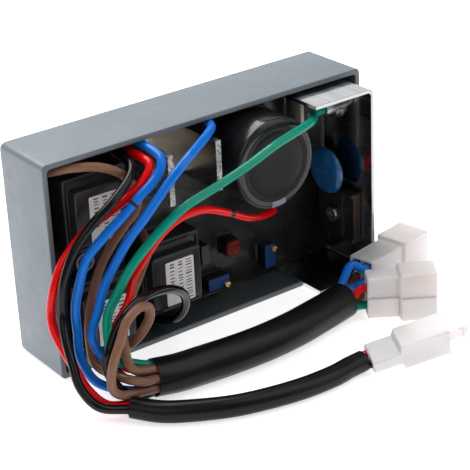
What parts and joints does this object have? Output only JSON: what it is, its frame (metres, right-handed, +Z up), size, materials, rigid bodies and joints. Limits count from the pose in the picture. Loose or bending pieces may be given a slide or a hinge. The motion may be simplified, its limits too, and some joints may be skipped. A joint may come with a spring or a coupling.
{
  "type": "automatic voltage regulator module",
  "caption": "Potted automatic voltage regulator for a generator: open grey tray case with capacitor, transformers, aluminium bracket, coloured wire harness and white plugs.",
  "frame": {"origin": "middle of the long narrow face that the case stands on", "axes": "X along the long side of the case, -Y out of its open side, +Z up"},
  "size_m": [0.1626, 0.1154, 0.0825],
  "materials": {
    "case_paint": "satin grey paint",
    "resin": "cast black epoxy with a glossy skin",
    "board_green": "glass-epoxy board with green mask",
    "moulded_black": "moulded black epoxy package",
    "resistor_tan": "lacquered resistor body",
    "bracket_aluminium": "bright brushed sheet",
    "tinned_lead": "tinned lead and lug metal",
    "zinc_steel": "bright zinc-plated steel",
    "can_disc": "dark end disc",
    "can_sleeve": "shrunk black vinyl",
    "varistor_blue": "dipped blue epoxy",
    "board_tan": "bare paper-phenolic board",
    "transformer_black": "cast black resin cover",
    "label_paper": "white paper label, left blank",
    "sink_aluminium": "mill-finish extrusion",
    "film_red": "dipped red-brown resin",
    "block_grey": "grey cement body",
    "trimmer_blue": "moulded blue plastic",
    "brass": "brass",
    "wire_red": "smooth red vinyl",
    "wire_black": "smooth black vinyl",
    "wire_blue": "smooth blue vinyl",
    "wire_green": "smooth green vinyl",
    "wire_brown": "smooth brown vinyl",
    "sleeve_vinyl": "soft black vinyl tubing",
    "nylon_white": "milky unfilled nylon"
  },
  "bodies": {
    "module": {"case": "case_paint", "potting": "resin", "circuit_board": "board_green", "control_chip": "moulded_black", "board_diodes": "moulded_black", "board_resistors": "resistor_tan", "mounting_bracket": "bracket_aluminium", "rectifier": "moulded_black", "rectifier_leads": "tinned_lead", "bracket_screws": "zinc_steel", "bracket_nuts": "zinc_steel", "earth_lug": "tinned_lead", "capacitor_can": "can_disc", "capacitor_sleeve": "can_sleeve", "small_capacitor": "can_sleeve", "varistor": "varistor_blue", "varistor_leads": "tinned_lead", "upright_board": "board_tan", "transformer_upper": "transformer_black", "transformer_lower": "transformer_black", "transformer_middle": "transformer_black", "transformer_labels": "label_paper", "heat_sink": "sink_aluminium", "thyristor": "moulded_black", "thyristor_leads": "tinned_lead", "thyristor_screw": "zinc_steel", "film_capacitor": "film_red", "block_resistor": "block_grey", "trimmer_body_a": "trimmer_blue", "trimmer_body_b": "trimmer_blue", "wire_red_main": "wire_red", "wire_black_main": "wire_black", "wire_blue_left": "wire_blue", "wire_blue_right": "wire_blue", "wire_green": "wire_green", "wire_red_thin": "wire_red", "wire_brown_corner": "wire_brown", "wire_brown_middle": "wire_brown", "wire_brown_loop": "wire_brown", "wire_black_loop": "wire_black", "sleeve_wide": "sleeve_vinyl", "sleeve_narrow": "sleeve_vinyl", "plug_six": "nylon_white", "plug_pair": "nylon_white", "plug_latched": "nylon_white", "contacts_six": "brass", "contacts_pair": "brass", "contacts_latched": "brass"},
    "adjuster_a": {"trimmer_screw_a": "brass"},
    "adjuster_b": {"trimmer_screw_b": "brass"}
  },
  "joints": [
    {"name": "adjuster_a_turn", "type": "hinge", "parent": "module", "child": "adjuster_a", "pos_m": [0.0332, -0.0045, 0.0152], "axis": [0, -1, 0], "continuous": true},
    {"name": "adjuster_b_turn", "type": "hinge", "parent": "module", "child": "adjuster_b", "pos_m": [0.0103, -0.0045, 0.0075], "axis": [0, -1, 0], "continuous": true}
  ]
}
